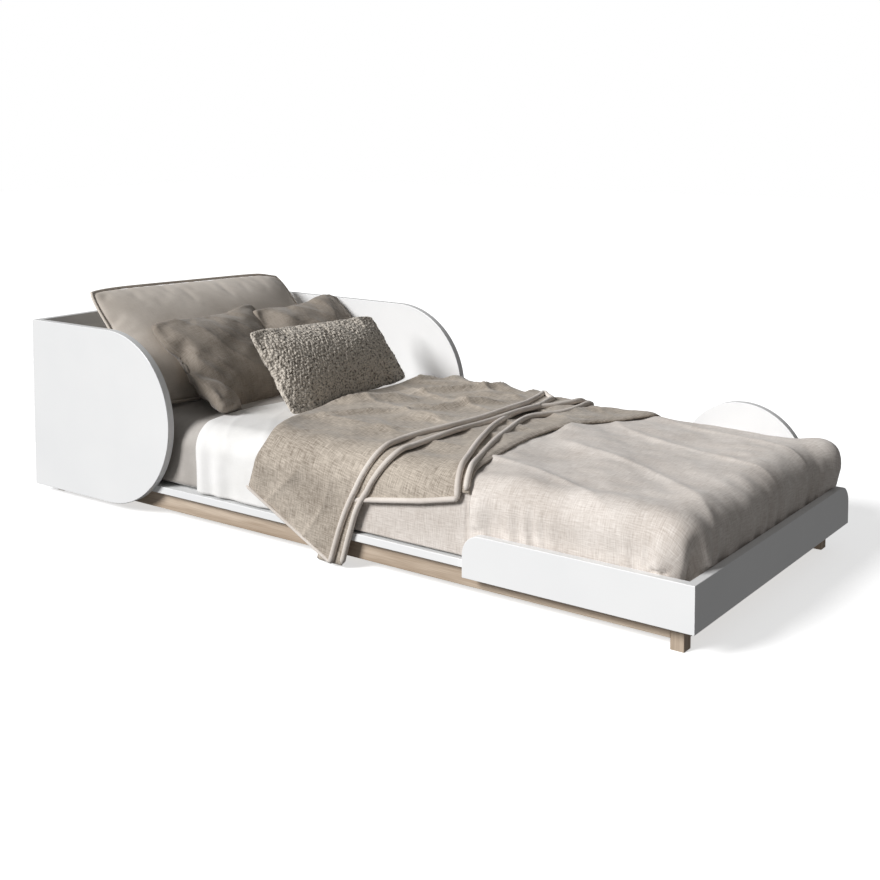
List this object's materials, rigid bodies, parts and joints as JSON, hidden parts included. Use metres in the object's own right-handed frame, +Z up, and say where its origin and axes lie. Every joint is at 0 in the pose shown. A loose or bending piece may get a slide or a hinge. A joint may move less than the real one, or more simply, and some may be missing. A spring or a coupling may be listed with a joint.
{
  "type": "low toddler bed",
  "caption": "Low floor-height child's bed: white panels with a rounded head box and low foot boards, oak underframe, slats, mattress, linen bedding, throw and pillows.",
  "frame": {"origin": "on the floor, under the centre of the frame's outline", "axes": "+X from the head to the foot, +Y from the entry side to the wall side, +Z up"},
  "size_m": [1.96, 0.85, 0.5587],
  "materials": {
    "white_lacquer": "satin white lacquer on board",
    "light_oak": "matt oiled light oak, grain along each piece",
    "pine": "planed bare pine",
    "beech": "fluted beech, unfinished",
    "zinc_steel": "zinc plated",
    "mattress_ticking": "woven ticking over foam",
    "taupe_sheet": "smooth cotton",
    "white_sheet": "smooth washed cotton",
    "linen_bedspread": "washed linen, slubby plain weave",
    "linen_throw": "melange linen weave with pale piping",
    "cushion_cloth": "smooth upholstery cloth with a piped edge",
    "pillow_linen": "dark taupe washed linen",
    "boucle": "curly boucle"
  },
  "bodies": {
    "frame": {"head_panel": "white_lacquer", "near_head_guard": "white_lacquer", "far_head_guard": "white_lacquer", "near_foot_board": "white_lacquer", "foot_board": "white_lacquer", "far_foot_guard": "white_lacquer", "near_side_board": "white_lacquer", "far_side_board": "white_lacquer", "head_end_board": "white_lacquer", "foot_end_board": "white_lacquer", "near_oak_rail": "light_oak", "far_oak_rail": "light_oak", "head_cross_rail": "light_oak", "foot_cross_rail": "light_oak", "near_head_leg": "light_oak", "near_foot_leg": "light_oak", "far_head_leg": "light_oak", "far_foot_leg": "light_oak", "centre_beam": "pine", "centre_leg_1": "pine", "centre_leg_2": "pine", "centre_leg_3": "pine", "near_slat_ledger": "pine", "far_slat_ledger": "pine", "slat_01": "pine", "slat_02": "pine", "slat_03": "pine", "slat_04": "pine", "slat_05": "pine", "slat_06": "pine", "slat_07": "pine", "slat_08": "pine", "slat_09": "pine", "slat_10": "pine", "slat_11": "pine", "slat_12": "pine", "slat_13": "pine", "slat_14": "pine", "slat_screws": "zinc_steel", "cam_locks": "zinc_steel", "cam_bolts": "zinc_steel", "wood_dowels": "beech", "frame_bolts": "zinc_steel", "barrel_nuts": "zinc_steel", "board_screws": "zinc_steel", "rail_screws": "zinc_steel", "centre_leg_bolts": "zinc_steel", "corner_angles": "zinc_steel"},
    "bedding": {"mattress": "mattress_ticking", "fitted_sheet": "taupe_sheet", "flat_sheet": "white_sheet", "bedspread": "linen_bedspread", "throw_blanket": "linen_throw"},
    "backrest": {"backrest_cushion": "cushion_cloth"},
    "far_pillow": {"linen_pillow_far": "pillow_linen"},
    "near_pillow": {"linen_pillow_near": "pillow_linen"},
    "front_pillow": {"boucle_pillow": "boucle"}
  },
  "joints": [
    {"name": "mattress_lift", "type": "slide", "parent": "frame", "child": "bedding", "axis": [0, 0, 1], "range_m": [0, 0.45]},
    {"name": "backrest_lift", "type": "slide", "parent": "bedding", "child": "backrest", "axis": [0, 0, 1], "range_m": [0, 0.3]},
    {"name": "far_pillow_lift", "type": "slide", "parent": "backrest", "child": "far_pillow", "axis": [0, 0, 1], "range_m": [0, 0.3]},
    {"name": "near_pillow_lift", "type": "slide", "parent": "far_pillow", "child": "near_pillow", "axis": [0, 0, 1], "range_m": [0, 0.3]},
    {"name": "boucle_pillow_lift", "type": "slide", "parent": "near_pillow", "child": "front_pillow", "axis": [0, 0, 1], "range_m": [0, 0.3]}
  ]
}
